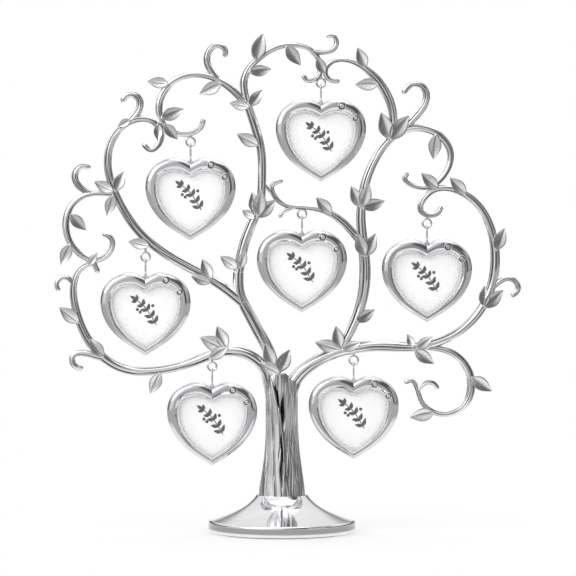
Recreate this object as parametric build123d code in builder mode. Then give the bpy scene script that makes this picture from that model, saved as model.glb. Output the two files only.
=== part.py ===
"""Photo tree stand: a cast scroll tree on a round foot, with heart frames hung from its boughs.

Frame: millimetres, +Z up, the tree lies in the XZ plane and faces -Y.
The origin is the middle of the foot's underside.
"""
import math
import os

from build123d import *

os.makedirs("parts", exist_ok=True)

# Foot, pad and screw
foot_radius = 35.3
foot_rim_height = 5.0
foot_neck_radius = 12.2
foot_height = 17.8
foot_edge_round = 1.2
pad_thickness = 1.0
pad_recess = 0.4
pad_margin = 2.6
screw_radius = 2.5
screw_length = 22.0
screw_head_radius = 5.0
screw_head_height = 3.0
screw_clearance = 0.1
driver_slot_width = 1.2
driver_slot_depth = 1.4

# Trunk, with bark ridges
trunk_height = 56.9
trunk_foot_radius = 11.5
trunk_neck_radius = 7.7
trunk_shoulder_radius = 8.1
trunk_top_radius = 7.0
fork_across = 2.6
bark_ridges = 9
bark_depth = 1.0
bark_twist = 24.0
cleft_corner = 13
cleft_depth = 2.8

# Boughs and leaves
section_pitch = 5.0
leaf_width_ratio = 0.5
leaf_thickness = 1.1
leaf_fold = 0.55
leaf_root_width = 1.3

# Hanging rings and links
ring_radius = 2.1
ring_wire = 0.5
ring_post = 0.6
link_wire = 0.4
link_eye_radius = 1.2
link_length = 7.57
hang_clearance = 0.08

# Heart frames
heart_half_width = 21.6
heart_lobe_rise = 2.6
heart_drop = 37.2
bezel_width = 5.4
bezel_depth = 4.2
bezel_front = -2.45
bezel_ease = 0.35
bezel_land = 2.4
bezel_lip = 0.8
window_thickness = 0.9
photo_thickness = 0.4
pocket_inset = 4.0
pocket_clearance = 0.12
lug_height = 0.6
lug_radius = 1.1
lug_thickness = 0.7
lug_hole = 0.55
cover_inset = 0.6
cover_thickness = 0.7
cover_gap = 0.06
hinge_rise = 4.0
hinge_radius = 0.5
hinge_clearance = 0.08
hinge_wall = 0.45
hinge_tongue_width = 4.6
hinge_ear_width = 1.2
hinge_side_gap = 0.15
large_stone_radius = 1.6
small_stone_radius = 1.3
stone_seat = 0.05
stone_depth = 1.2
stone_crown = 0.5
large_stone_place = (10.1, -0.9)
small_stone_place = (16.7, -6.7)

# Levels that follow from the sizes above
foot_base = pad_thickness - pad_recess
crown_height = foot_height + trunk_height
bezel_back = bezel_front + bezel_depth
window_front = bezel_back - window_thickness - photo_thickness - cover_gap
cover_front = bezel_back + cover_gap
hinge_level = cover_front + hinge_radius
hinge_height = hinge_rise - heart_drop
hinge_ear_radius = hinge_radius + hinge_clearance + hinge_wall
hinge_length = hinge_tongue_width + 2 * hinge_side_gap + 2 * hinge_ear_width
tree_plane = Plane(origin=(0, 0, crown_height), x_dir=(1, 0, 0), z_dir=(0, -1, 0))


def centreline(points):
    """The smooth middle line of a bough through points (across, up) from the crown's middle."""
    with BuildLine(tree_plane) as line:
        Spline(*points)
    return line.edge()


def radius_along(radii, fraction):
    """The bough's radius at a fraction of its length, from evenly spaced radii."""
    place = fraction * (len(radii) - 1)
    step = min(int(place), len(radii) - 2)
    return radii[step] + (radii[step + 1] - radii[step]) * (place - step)


def round_section(path, fraction, radius):
    """A disc square to a middle line."""
    plane = Plane(origin=path @ fraction, x_dir=(0, 1, 0), z_dir=path % fraction)
    with BuildSketch(plane) as disc:
        Circle(radius)
    return disc.sketch


def limb(path, radii, blunt=True):
    """A tapering round limb along a middle line, with a rounded end where it is blunt."""
    steps = max(3, round(path.length / section_pitch))
    sections = []
    for step in range(steps):
        fraction = step / steps
        sections.append(round_section(path, fraction, radius_along(radii, fraction)))
    end_radius = radii[-1]
    if blunt:
        round_off = 1 - 0.35 * end_radius / path.length
        sections.append(round_section(path, round_off, 0.85 * end_radius))
        end_radius = 0.45 * end_radius
    sections.append(round_section(path, 1, end_radius))
    return loft(sections=sections, mode=Mode.PRIVATE)


def leaf(root, tip, forward=0.0):
    """A pointed leaf, folded along its midrib; forward brings its tip out in front of a bough."""
    root_point = tree_plane.from_local_coords((*root, 0.7 * forward))
    tip_point = tree_plane.from_local_coords((*tip, forward))
    axis = Edge.make_line(root_point, tip_point)
    along = axis % 0
    backward = along.cross(Vector(0, 1, 0)).cross(along)
    half_width = 0.5 * leaf_width_ratio * axis.length
    shapes = (
        (0.0, leaf_root_width / 2, leaf_thickness, 0.0),
        (0.22, 0.7 * half_width, leaf_thickness, 0.6 * leaf_fold),
        (0.45, half_width, leaf_thickness, 0.8 * leaf_fold),
        (0.75, 0.66 * half_width, 0.75 * leaf_thickness, 0.5 * leaf_fold),
        (1.0, 0.1 * half_width, 0.3 * leaf_thickness, 0.0),
    )
    sections = []
    for fraction, width, thickness, fold in shapes:
        plane = Plane(origin=axis @ fraction, x_dir=backward, z_dir=along)
        with BuildSketch(plane) as blade:
            Polygon((-fold, -width), (0.5 * thickness, 0), (-fold, width), (-0.5 * thickness, 0), align=None)
        sections.append(blade.sketch)
    return loft(sections=sections, ruled=True, mode=Mode.PRIVATE)


def front_plane(level):
    """An upright plane that faces the viewer, at one depth."""
    return Plane(origin=(0, level, 0), x_dir=(1, 0, 0), z_dir=(0, -1, 0))


def heart_sketch(inset, level):
    """A heart outline drawn in from the outer edge, on the plane at one depth; the notch is the datum."""
    tip = (0, -heart_drop + 0.75 * inset)
    flank = (0.76 * heart_half_width - 0.68 * inset, -0.67 * heart_drop + 0.54 * inset)
    side = (heart_half_width - 1.08 * inset, -0.32 * heart_drop)
    shoulder = (0.83 * heart_half_width - 0.7 * inset, -0.73 * heart_lobe_rise - 0.8 * inset)
    lobe = (0.4 * heart_half_width - 0.2 * inset, heart_lobe_rise - 1.22 * inset)
    notch = (0, -1.26 * inset)
    with BuildSketch(front_plane(level)) as heart:
        with BuildLine():
            Spline(tip, flank, side, shoulder, lobe, notch, tangents=((1, 0.58), (-1, -0.6)))
            mirror(about=Plane.YZ)
        make_face()
    return heart.sketch


# Round foot with a trumpet flare, screwed up into the trunk from below
with BuildPart() as base_foot:
    with BuildSketch(Plane.XZ):
        with BuildLine():
            rim_top = foot_base + foot_rim_height
            Line((0, foot_base), (foot_radius, foot_base))
            Line((foot_radius, foot_base), (foot_radius, rim_top))
            Spline(
                (foot_radius, rim_top),
                (foot_radius * 0.57, foot_height * 0.62),
                (foot_neck_radius, foot_height),
                tangents=((-1, 0.28), (-0.6, 1)),
            )
            Line((foot_neck_radius, foot_height), (0, foot_height))
            Line((0, foot_height), (0, foot_base))
        make_face()
    revolve(axis=Axis.Z)
    rim_edges = base_foot.edges().filter_by(GeomType.CIRCLE).group_by(SortBy.RADIUS)[-1]
    fillet(rim_edges.sort_by(Axis.Z)[-1], foot_edge_round)
    with BuildSketch(Plane.XY.offset(foot_base)):
        Circle(foot_radius - pad_margin)
    extrude(amount=pad_recess, mode=Mode.SUBTRACT)
    with Locations(Plane(origin=(0, 0, pad_thickness), z_dir=(0, 0, -1))):
        CounterBoreHole(
            radius=screw_radius + screw_clearance,
            counter_bore_radius=screw_head_radius + 2 * screw_clearance,
            counter_bore_depth=screw_head_height,
        )
base_foot.part.label = "base_foot"

# Rubber pad that closes the underside
with BuildPart() as base_pad:
    with BuildSketch():
        Circle(foot_radius - pad_margin - screw_clearance)
    extrude(amount=pad_thickness)
base_pad.part.label = "base_pad"

# Pan head screw that draws the trunk down on the foot
with BuildPart() as base_screw:
    with BuildSketch(Plane.XY.offset(pad_thickness)):
        Circle(screw_head_radius)
    extrude(amount=screw_head_height)
    with BuildSketch(Plane.XY.offset(pad_thickness + screw_head_height)):
        Circle(screw_radius)
    extrude(amount=screw_length)
    with BuildSketch(Plane.XY.offset(pad_thickness)):
        Rectangle(2 * screw_head_radius, driver_slot_width)
    extrude(amount=driver_slot_depth, mode=Mode.SUBTRACT)
base_screw.part.label = "base_screw"

# Trunk with twisting bark ridges and one deep cleft in front, cut off slantwise where the right bough leaves
bark_levels = (
    (0.0, trunk_foot_radius),
    (0.16, trunk_foot_radius - 0.38 * (trunk_foot_radius - trunk_neck_radius)),
    (0.4, trunk_neck_radius + 0.28 * (trunk_foot_radius - trunk_neck_radius)),
    (0.68, trunk_neck_radius),
    (0.9, trunk_shoulder_radius),
    (1.02, trunk_top_radius),
)
with BuildPart() as trunk:
    for share, ridge_radius in bark_levels:
        corners = []
        for corner in range(2 * bark_ridges):
            wander = 5 * math.sin(2.3 * corner)
            turn = math.radians(180 * corner / bark_ridges + bark_twist * share + wander)
            groove = cleft_depth if corner == cleft_corner else bark_depth * (corner % 2)
            reach = ridge_radius - groove
            corners.append((reach * math.cos(turn), reach * math.sin(turn)))
        with BuildSketch(Plane.XY.offset(foot_height + share * trunk_height)):
            Polygon(*corners, align=None)
    loft()
    fork = Plane(origin=(fork_across, 0, foot_height + trunk_height), x_dir=(0, 1, 0), z_dir=(1, 0, 1))
    split(bisect_by=fork, keep=Keep.BOTTOM)
    screw_reach = pad_thickness + screw_head_height + screw_length + 1 - foot_height
    with BuildSketch(Plane.XY.offset(foot_height)):
        Circle(screw_radius + screw_clearance)
    extrude(amount=screw_reach, mode=Mode.SUBTRACT)
trunk.part.label = "trunk"

# Left side of the crown: the limb out of the fork
left_limb_line = centreline(
    [(-2.9, -5.8), (-3.8, 1.9), (-6.7, 12.5), (-12, 22.6), (-17.3, 32.6), (-20.2, 38.9), (-20.9, 49.9)]
)
left_limb_radii = (3.2, 2.8, 2.6, 2.5, 2.4)
with BuildPart() as left_limb:
    add(limb(left_limb_line, left_limb_radii, blunt=False))
    add(leaf((-3.0, 1.4), (-7.2, 15.4), forward=2.6))
    add(leaf((-2.2, 1.9), (3.6, 12.7)))
    add(trunk.part, mode=Mode.SUBTRACT)
left_limb.part.label = "left_limb"

# The mast that carries the limb on to the top
left_mast_line = centreline(
    [left_limb_line @ 1, (-17.5, 65.3), (-13.9, 74.4), (-10.3, 84.5), (-9.6, 94.1), (-10.1, 108.5),
     (-12.5, 118.1), (-17.3, 132.5)]
)
left_mast_radii = (2.4, 2.3, 2.1, 1.9, 1.9, 2.0, 1.8)
with BuildPart() as left_mast:
    add(limb(left_mast_line, left_mast_radii, blunt=False))
    add(leaf((-21.1, 51.5), (-29.8, 57.6)))
    add(leaf((-20.2, 51.5), (-17.5, 60.5), forward=2.4))
    add(leaf((-13.0, 75.4), (-19.2, 79.7)))
    add(leaf((-12.0, 77.0), (-14.4, 88.3)))
    add(leaf((-11.5, 76.5), (-9.8, 89.5), forward=2.2))
    add(leaf((-12.4, 75.9), (-2.9, 84.5)))
    add(leaf((-11.0, 110.4), (-21.8, 116.2)))
    add(leaf((-15.8, 129.1), (-9.4, 137.3)))
    add(leaf((-15.4, 128.9), (-25.4, 131.0)))
    add(left_limb.part, mode=Mode.SUBTRACT)
left_mast.part.label = "left_mast"

# The long bough that sweeps out to the left and curls over at the top
left_bough_line = centreline(
    [(-18.7, 35), (-30.2, 43.9), (-51.4, 55.7), (-69.1, 69.8), (-79.2, 85.7), (-83.5, 99.8), (-81.1, 113.8),
     (-72, 122.4), (-61.4, 121.9), (-58.1, 113.8), (-62.9, 108.5), (-66.7, 111.6)]
)
left_bough_radii = (2.4, 2.3, 2.2, 2.1, 2.0, 1.9, 1.8, 1.7, 1.6, 1.5, 1.25)
left_bough_curl = centreline(
    [(-75.5, 120.4), (-71, 124.3), (-68.4, 128.6), (-68.4, 132.5), (-71, 134.9), (-74.6, 134.4),
     (-76.8, 131.5)]
)
with BuildPart() as left_bough:
    add(limb(left_bough_line, left_bough_radii))
    add(limb(left_bough_curl, (1.4, 1.7, 1.6, 1.35)))
    add(leaf((-34.1, 45.6), (-38.2, 56.4)))
    add(leaf((-34.1, 44.6), (-43.7, 48.0), forward=1.6))
    add(leaf((-63.4, 62.4), (-73.9, 64.6)))
    add(leaf((-80.2, 88.1), (-75.8, 98.2)))
    add(leaf((-80.6, 88.3), (-90.2, 93.4)))
    add(leaf((-80.6, 86.9), (-84.0, 76.8)))
    add(leaf((-72.5, 122.9), (-78.9, 119.3), forward=1.4))
    add(leaf((-59.3, 121.0), (-59.3, 112.3), forward=1.6))
    add(left_limb.part, mode=Mode.SUBTRACT)
left_bough.part.label = "left_bough"

# The low bough that swings out below and back up on the left
left_low_line = centreline(
    [(-5.8, -3.8), (-8.6, 3.8), (-14.4, 9.1), (-22.1, 11.8), (-30.2, 11.3), (-39.4, 7.9), (-58.6, 2.6),
     (-77.8, 4.1), (-91.7, 15.4), (-98.9, 31.7), (-99.4, 46.1), (-96.5, 51.4), (-91.2, 54.2)]
)
left_low_radii = (3.0, 2.7, 2.5, 2.2, 2.0, 2.1, 2.2, 2.1, 1.9, 1.6, 1.2)
left_low_curl = centreline(
    [(-85.4, 8.6), (-90.7, 9.9), (-96, 11), (-99.6, 10.1), (-100.6, 7), (-98.6, 4.3), (-95.3, 3.6)]
)
left_low_hook = centreline(
    [(-99.6, 43.2), (-102.2, 46.6), (-105.6, 47.3), (-108.2, 45.4), (-108.7, 42.7), (-106.6, 40.8)]
)
with BuildPart() as left_low_bough:
    add(limb(left_low_line, left_low_radii, blunt=False))
    add(limb(left_low_curl, (1.8, 1.7, 1.5, 1.25)))
    add(limb(left_low_hook, (1.1, 1.2, 1.15, 1.0)))
    add(leaf((-4.3, 2.4), (-11.5, 8.2), forward=2.8))
    add(leaf((-26.4, 13.0), (-31.2, 24.2)))
    add(leaf((-26.9, 13.0), (-39.6, 18.7)))
    add(leaf((-35.0, 8.2), (-25.4, 14.4), forward=2.4))
    add(leaf((-58.1, 1.8), (-63.4, -8.6)))
    add(leaf((-85.4, 9.1), (-92.2, 18.2), forward=2.2))
    add(leaf((-97.0, 25.4), (-107.0, 33.1)))
    add(trunk.part, mode=Mode.SUBTRACT)
    add(left_limb.part, mode=Mode.SUBTRACT)
left_low_bough.part.label = "left_low_bough"

# The small loop on the far left, tied into the low bough
left_loop_line = centreline(
    [(-80, 87.1), (-88.8, 87.6), (-95, 86.4), (-100.3, 82.6), (-103.7, 73.5), (-101.3, 63.4), (-97, 58.6),
     (-91.2, 55.7), (-85.4, 56.9), (-81.8, 61), (-81.8, 65.8), (-86.2, 68.4)]
)
left_loop_radii = (1.4, 1.4, 1.5, 1.6, 1.5, 1.4, 1.3, 1.15)
left_loop_curl = centreline(
    [(-91.5, 87.5), (-97, 90.7), (-99.4, 95.3), (-98.4, 98.9), (-95, 100.6), (-91.9, 99.6)]
)
left_loop_stub = centreline([(-90.7, 55.4), (-89.3, 52), (-88.1, 49.4)])
with BuildPart() as left_loop:
    add(limb(left_loop_line, left_loop_radii))
    add(limb(left_loop_curl, (1.3, 1.6, 1.5, 1.25)))
    add(limb(left_loop_stub, (1.2, 1.2)))
    add(leaf((-101.7, 77.5), (-93.8, 69.8)))
    add(leaf((-101.3, 63.4), (-106.1, 53.3)))
    add(leaf((-92.6, 53.0), (-88.3, 59.3), forward=1.7))
    add(left_bough.part, mode=Mode.SUBTRACT)
    add(left_low_bough.part, mode=Mode.SUBTRACT)
left_loop.part.label = "left_loop"

# The scroll at the upper left
top_left_line = centreline(
    [(-16.3, 129.6), (-26.9, 139.7), (-38.9, 144.5), (-50.9, 142.1), (-58.8, 131), (-56.6, 120.5),
     (-47, 115.9),
     (-38.6, 120), (-37.7, 123.6)]
)
top_left_radii = (1.8, 1.7, 1.5, 1.5, 1.65, 1.6, 1.3, 1.25, 1.2)
top_left_curl = centreline(
    [(-29.5, 141), (-34.1, 146.4), (-36, 151.2), (-34.6, 156.5), (-31.2, 158.6), (-27.6, 157.2),
     (-27.4, 152.9)]
)
with BuildPart() as top_left_scroll:
    add(limb(top_left_line, top_left_radii))
    add(limb(top_left_curl, (1.4, 1.6, 1.45, 1.2)))
    add(leaf((-54.2, 140.0), (-64.8, 141.4)))
    add(leaf((-28.8, 140.4), (-39.8, 135.1)))
    add(leaf((-58.1, 123.4), (-47.0, 128.2)))
    add(leaf((-56.6, 121.0), (-49.9, 113.3)))
    add(left_mast.part, mode=Mode.SUBTRACT)
    add(left_bough.part, mode=Mode.SUBTRACT)
top_left_scroll.part.label = "top_left_scroll"

# The arch over the top, which hooks round the knot above the top heart
top_arch_line = centreline(
    [(-17.0, 131.5), (-18.2, 142.1), (-9.1, 154.1), (3.8, 158.9), (15.4, 155), (18.4, 148.5), (16.4, 142.9),
     (11.9, 142), (10.1, 144.7)]
)
top_arch_radii = (1.8, 1.75, 1.5, 1.35, 1.3, 1.25, 1.2, 1.1)
top_arch_curl = centreline(
    [(14.4, 155.8), (20.6, 155.3), (24.5, 156.7), (26.2, 159.8), (25, 162.7), (21.4, 162.7)]
)
with BuildPart() as top_arch:
    add(limb(top_arch_line, top_arch_radii))
    add(limb(top_arch_curl, (1.1, 1.2, 1.15, 1.0)))
    add(leaf((-12.9, 151.0), (-9.1, 164.4)))
    add(leaf((-15.8, 145.6), (-5.0, 147.2)))
    add(leaf((1.9, 158.2), (9.1, 148.8)))
    add(leaf((20.4, 144.6), (16.6, 153.6), forward=1.4))
    add(left_mast.part, mode=Mode.SUBTRACT)
    add(top_left_scroll.part, mode=Mode.SUBTRACT)
top_arch.part.label = "top_arch"

# Right side of the crown: the great bough that runs round to the right heart
right_bough_line = centreline(
    [(3.8, -7.7), (6.7, -1.4), (13.4, 5), (28.8, 12), (47, 14.6), (65.3, 14.2), (81.6, 19.2), (94.1, 30),
     (101.3, 46.1), (101.8, 63.8), (95.5, 80.2), (83, 89.3), (70.1, 87.4), (67, 78.7), (74.4, 78),
     (76.6, 81.6)]
)
right_bough_radii = (3.4, 2.4, 2.4, 2.7, 2.7, 2.0, 1.9, 2.0, 2.2, 2.0, 1.8, 1.5, 1.4, 1.2)
right_bough_curl = centreline(
    [(99.6, 40.5), (104.6, 45.4), (108.5, 46.8), (112.1, 45.1), (113.3, 41.8), (109.9, 38.2)]
)
with BuildPart() as right_bough:
    add(limb(right_bough_line, right_bough_radii))
    add(limb(right_bough_curl, (1.1, 1.4, 1.35, 1.2)))
    add(leaf((28.6, 12.6), (37.9, 16.3), forward=2.4))
    add(leaf((62.9, 13.4), (60.2, 20.2)))
    add(leaf((64.3, 13.0), (72.2, 19.0), forward=1.8))
    add(leaf((63.4, 12.5), (73.0, 5.8)))
    add(leaf((96.7, 33.0), (97.2, 43.4)))
    add(leaf((96.7, 32.6), (106.1, 41.3)))
    add(leaf((102.4, 60.0), (106.8, 71.0)))
    add(leaf((88.3, 87.0), (80.4, 95.3)))
    add(leaf((74.9, 89.6), (66.7, 97.4)))
    add(trunk.part, mode=Mode.SUBTRACT)
    add(left_limb.part, mode=Mode.SUBTRACT)
    add(left_low_bough.part, mode=Mode.SUBTRACT)
right_bough.part.label = "right_bough"

# The spiral that hangs at the lower right
right_spiral_line = centreline(
    [(66, 14), (73.9, 13.2), (80.6, 11.5), (86.4, 7.2), (90.6, -2), (89, -12), (84.5, -16.6), (78.2, -18.5),
     (72, -17), (67.4, -13), (64.6, -5.6), (62.4, -2.4), (58.8, -3.4)]
)
right_spiral_radii = (1.2, 1.4, 1.7, 1.9, 1.9, 1.5, 1.4, 1.2, 1.1, 1.1)
right_spiral_twig = centreline([(64.9, -7.2), (66.7, -4.8), (69.6, -3.1), (72.7, -3.6), (74.9, -6.5)])
with BuildPart() as right_spiral:
    add(limb(right_spiral_line, right_spiral_radii))
    add(limb(right_spiral_twig, (1.0, 1.2, 1.2, 1.05)))
    add(leaf((90.5, -0.5), (100.8, -7.4)))
    add(leaf((73.2, -17.4), (61.0, -19.9)))
    add(right_bough.part, mode=Mode.SUBTRACT)
right_spiral.part.label = "right_spiral"

# The inner limb on the right, which climbs and curls back on the great bough
right_limb_line = centreline(
    [(27.6, 11.6), (33.6, 23), (38.9, 38.9), (39.6, 56.6), (37.9, 73.9), (39.6, 90.7), (46.3, 106.6),
     (57.6, 117.4),
     (71.5, 117.8), (80.9, 107), (76.8, 95), (66.2, 90.5), (59, 95), (60.5, 97.7)]
)
right_limb_radii = (1.7, 2.1, 2.4, 2.6, 2.5, 2.3, 2.0, 2.1, 1.9, 1.6, 1.8, 1.9, 1.5, 1.3, 1.25, 1.15)
right_limb_curl = centreline(
    [(57, 117.2), (66.2, 126.7), (69.1, 132), (68.9, 136.8), (65.8, 139.7), (61.9, 139.7), (58.1, 135.4)]
)
with BuildPart() as right_limb:
    add(limb(right_limb_line, right_limb_radii))
    add(limb(right_limb_curl, (1.4, 1.65, 1.6, 1.35)))
    add(leaf((27.8, 12.8), (25.9, 24.2)))
    add(leaf((27.8, 12.6), (15.6, 16.3)))
    add(leaf((35.4, 25.9), (44.6, 31.9)))
    add(leaf((39.6, 57.1), (36.0, 68.9), forward=2.4))
    add(leaf((39.9, 57.1), (44.9, 68.4)))
    add(leaf((38.0, 80.6), (33.1, 91.2)))
    add(leaf((38.2, 80.8), (41.8, 92.4), forward=2.2))
    add(leaf((38.4, 80.4), (49.4, 84.0)))
    add(leaf((51.6, 113.2), (47.5, 126.7)))
    add(leaf((51.6, 113.2), (61.0, 125.0)))
    add(leaf((73.9, 116.0), (72.5, 103.7)))
    add(right_bough.part, mode=Mode.SUBTRACT)
right_limb.part.label = "right_limb"

# The arch that leans in from the right to meet the knot
right_arch_line = centreline(
    [(52.9, 114.6), (53.3, 125.3), (48.7, 138), (38.9, 148.3), (27.4, 151.7), (21.6, 148.5), (21.2, 144),
     (23.8, 141.8), (27.8, 141.6)]
)
right_arch_radii = (1.7, 1.9, 2.1, 1.9, 1.4, 1.1, 1.15, 1.15)
with BuildPart() as right_arch:
    add(limb(right_arch_line, right_arch_radii))
    add(leaf((46.6, 139.8), (34.8, 139.7)))
    add(leaf((40.2, 147.4), (36.2, 157.7)))
    add(right_limb.part, mode=Mode.SUBTRACT)
    add(top_arch.part, mode=Mode.SUBTRACT)
right_arch.part.label = "right_arch"

# The branch across the middle, which carries the centre heart
centre_line = centreline(
    [(38.6, 63.4), (32.2, 70.8), (21.6, 78.7), (9.1, 81.1), (-1.9, 84.2), (-4.6, 91.4), (0.5, 93.8)]
)
centre_radii = (2.1, 1.9, 1.7, 1.4, 1.2, 1.2, 1.15, 1.05)
centre_hook = centreline([(6.5, 81.3), (3.4, 80.1), (0.2, 78.5), (-1, 75.8)])
centre_twig = centreline([(-3.9, 86.6), (-6.2, 89.3), (-9.4, 92.6)])
with BuildPart() as centre_branch:
    add(limb(centre_line, centre_radii))
    add(limb(centre_hook, (1.0, 1.05, 1.0)))
    add(limb(centre_twig, (0.8, 0.8), blunt=False))
    add(leaf((24.0, 77.4), (16.3, 85.9)))
    add(right_limb.part, mode=Mode.SUBTRACT)
    add(left_mast.part, mode=Mode.SUBTRACT)
centre_branch.part.label = "centre_branch"

# Where each heart's ring hangs, from the crown's middle, and the post that ties the ring to its bough
hangers = {
    "heart_top": (18.7, 140.6, 4.6),
    "heart_upper_left": (-43.9, 112.4, 2.2),
    "heart_centre": (9.6, 77.8, 1.5),
    "heart_right": (69.6, 73.2, 1.8),
    "heart_left": (-65.5, 57.2, 3.8),
    "heart_lower_left": (-33.5, 4.5, 4.0),
    "heart_lower_right": (34.4, 7.5, 4.0),
}
with BuildPart() as hanging_rings:
    for across, up, post_length in hangers.values():
        ring_height = crown_height + up
        with Locations(Location((across, 0, ring_height), (90, 0, 0))):
            Torus(ring_radius, ring_wire)
        with BuildSketch(Plane.XY.offset(ring_height + ring_radius)):
            with Locations((across, 0)):
                Circle(ring_post)
        extrude(amount=post_length)
    for bough in (top_arch, top_left_scroll, centre_branch, right_bough, left_bough, left_low_bough):
        add(bough.part, mode=Mode.SUBTRACT)
hanging_rings.part.label = "hanging_rings"

# Link between ring and heart, drawn about its upper pivot
upper_eye = -(link_eye_radius - link_wire - ring_wire - hang_clearance)
lower_eye = link_eye_radius - link_length
with BuildPart() as heart_link:
    with Locations(Location((0, 0, upper_eye), (0, 90, 0)), Location((0, 0, lower_eye), (0, 90, 0))):
        Torus(link_eye_radius, link_wire)
    with BuildSketch(Plane.XY.offset(lower_eye + link_eye_radius)):
        Circle(link_wire)
    extrude(amount=upper_eye - lower_eye - 2 * link_eye_radius)

# Heart frame, drawn about its outer notch: a domed bezel with a lug on top and two hinge ears behind its tip
with BuildPart() as heart_frame:
    loft(
        sections=[
            heart_sketch(bezel_ease, bezel_back),
            heart_sketch(0, bezel_back - 0.2 * bezel_depth),
            heart_sketch(bezel_ease, bezel_back - 0.7 * bezel_depth),
            heart_sketch(0.55 * bezel_land, bezel_back - 0.92 * bezel_depth),
            heart_sketch(bezel_land, bezel_front),
        ]
    )
    loft(
        sections=[
            heart_sketch(bezel_land + bezel_lip, bezel_front - 0.15),
            heart_sketch(bezel_width - 1.0, bezel_front + 0.2 * bezel_depth),
            heart_sketch(bezel_width, window_front),
        ],
        mode=Mode.SUBTRACT,
    )
    extrude(heart_sketch(pocket_inset, window_front), amount=-bezel_depth, mode=Mode.SUBTRACT)
    with BuildSketch(front_plane(lug_thickness / 2)):
        with Locations((0, lug_height)):
            Circle(lug_radius)
        Rectangle(2 * lug_radius, 2 * lug_radius, align=(Align.CENTER, Align.MAX))
        with Locations((0, lug_height)):
            Circle(lug_hole, mode=Mode.SUBTRACT)
    extrude(amount=lug_thickness)
    for ear_start in (hinge_tongue_width / 2 + hinge_side_gap, -hinge_length / 2):
        with BuildSketch(Plane.YZ.offset(ear_start)):
            with Locations((hinge_level, hinge_height)):
                Circle(hinge_ear_radius)
                Rectangle(hinge_level - bezel_back, 2 * hinge_ear_radius, align=(Align.MAX, Align.CENTER))
                Circle(hinge_radius + hinge_clearance, mode=Mode.SUBTRACT)
            with Locations((bezel_back, hinge_height)):
                below = (Align.MAX, Align.CENTER)
                Rectangle(hinge_ear_radius, 2 * hinge_ear_radius, align=below, mode=Mode.SUBTRACT)
        extrude(amount=hinge_ear_width)
    for place, radius in ((large_stone_place, large_stone_radius), (small_stone_place, small_stone_radius)):
        with BuildSketch(front_plane(bezel_front - 1)):
            with Locations(place):
                Circle(radius + stone_seat)
        extrude(amount=-1 - stone_depth, mode=Mode.SUBTRACT)

# Clear window and the paper photo behind it
with BuildPart() as heart_window:
    extrude(heart_sketch(pocket_inset + pocket_clearance, window_front), amount=-window_thickness)
with BuildPart() as heart_photo:
    photo_front = window_front + window_thickness
    extrude(heart_sketch(pocket_inset + pocket_clearance, photo_front), amount=-photo_thickness)

# Two faceted stones set in the right lobe
with BuildPart() as heart_crystals:
    for place, radius in ((large_stone_place, large_stone_radius), (small_stone_place, small_stone_radius)):
        facets = []
        for level, share in ((stone_depth, 0.3), (0.3, 1.0), (0.0, 1.0), (-stone_crown, 0.55)):
            with BuildSketch(front_plane(bezel_front + level)) as cut:
                with Locations(place):
                    RegularPolygon(share * radius, 8)
            facets.append(cut.sketch)
        loft(sections=facets, ruled=True)

# Back door that folds down on a barrel between the frame's ears, to change the photo
with BuildPart() as heart_cover:
    extrude(heart_sketch(cover_inset, cover_front), amount=-cover_thickness)
    door_edge = hinge_height + hinge_ear_radius + hinge_side_gap
    split(bisect_by=Plane.XY.offset(door_edge), keep=Keep.TOP)
    with BuildSketch(front_plane(cover_front)):
        with Locations((0, hinge_height)):
            Rectangle(hinge_tongue_width, door_edge - hinge_height, align=(Align.CENTER, Align.MIN))
    extrude(amount=-cover_thickness)
    with Locations(Location((0, hinge_level, hinge_height), (0, 90, 0))):
        Cylinder(hinge_radius, hinge_length)

# Every piece goes out on its own; the hearts are copies hung below their rings
stand = (
    base_foot, base_pad, base_screw, trunk, left_limb, left_mast, left_bough, left_low_bough, left_loop,
    top_left_scroll, top_arch, right_bough, right_spiral, right_limb, right_arch, centre_branch,
    hanging_rings,
)
for piece in stand:
    export_step(piece.part, "parts/" + piece.part.label + ".step")
heart_pieces = {
    "frame": heart_frame,
    "window": heart_window,
    "photo": heart_photo,
    "crystals": heart_crystals,
    "cover": heart_cover,
}
for name, (across, up, post_length) in hangers.items():
    upper_pivot = crown_height + up - ring_radius
    notch_height = upper_pivot - link_length - lug_height
    hung_link = Pos(across, 0, upper_pivot) * heart_link.part
    hung_link.label = name + "_link"
    export_step(hung_link, "parts/" + hung_link.label + ".step")
    for kind, template in heart_pieces.items():
        hung = Pos(across, 0, notch_height) * template.part
        hung.label = name + "_" + kind
        export_step(hung, "parts/" + hung.label + ".step")
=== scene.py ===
import math

import bpy
import numpy as np
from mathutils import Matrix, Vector


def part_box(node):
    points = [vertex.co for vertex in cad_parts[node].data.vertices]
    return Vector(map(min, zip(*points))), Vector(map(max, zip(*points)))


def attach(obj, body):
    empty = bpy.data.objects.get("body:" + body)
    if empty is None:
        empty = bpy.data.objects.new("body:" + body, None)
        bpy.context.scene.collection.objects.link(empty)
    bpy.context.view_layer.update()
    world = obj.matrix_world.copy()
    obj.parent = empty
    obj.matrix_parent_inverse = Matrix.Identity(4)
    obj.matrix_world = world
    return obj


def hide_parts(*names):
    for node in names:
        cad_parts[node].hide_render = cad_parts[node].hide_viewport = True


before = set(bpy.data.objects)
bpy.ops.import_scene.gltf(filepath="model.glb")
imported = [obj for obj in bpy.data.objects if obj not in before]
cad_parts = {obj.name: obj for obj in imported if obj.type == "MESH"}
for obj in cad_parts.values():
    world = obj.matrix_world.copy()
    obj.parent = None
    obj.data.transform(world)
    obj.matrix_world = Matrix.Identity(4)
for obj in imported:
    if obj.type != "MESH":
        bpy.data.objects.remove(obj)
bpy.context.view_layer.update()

# Looks of the photo tree stand: plated boughs with bark grooves, veined leaves, hearts with printed inserts.
# Sizes are in millimetres, and each mesh is scaled to metres as it is made. The tree faces -Y.
MM = 0.001
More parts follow.
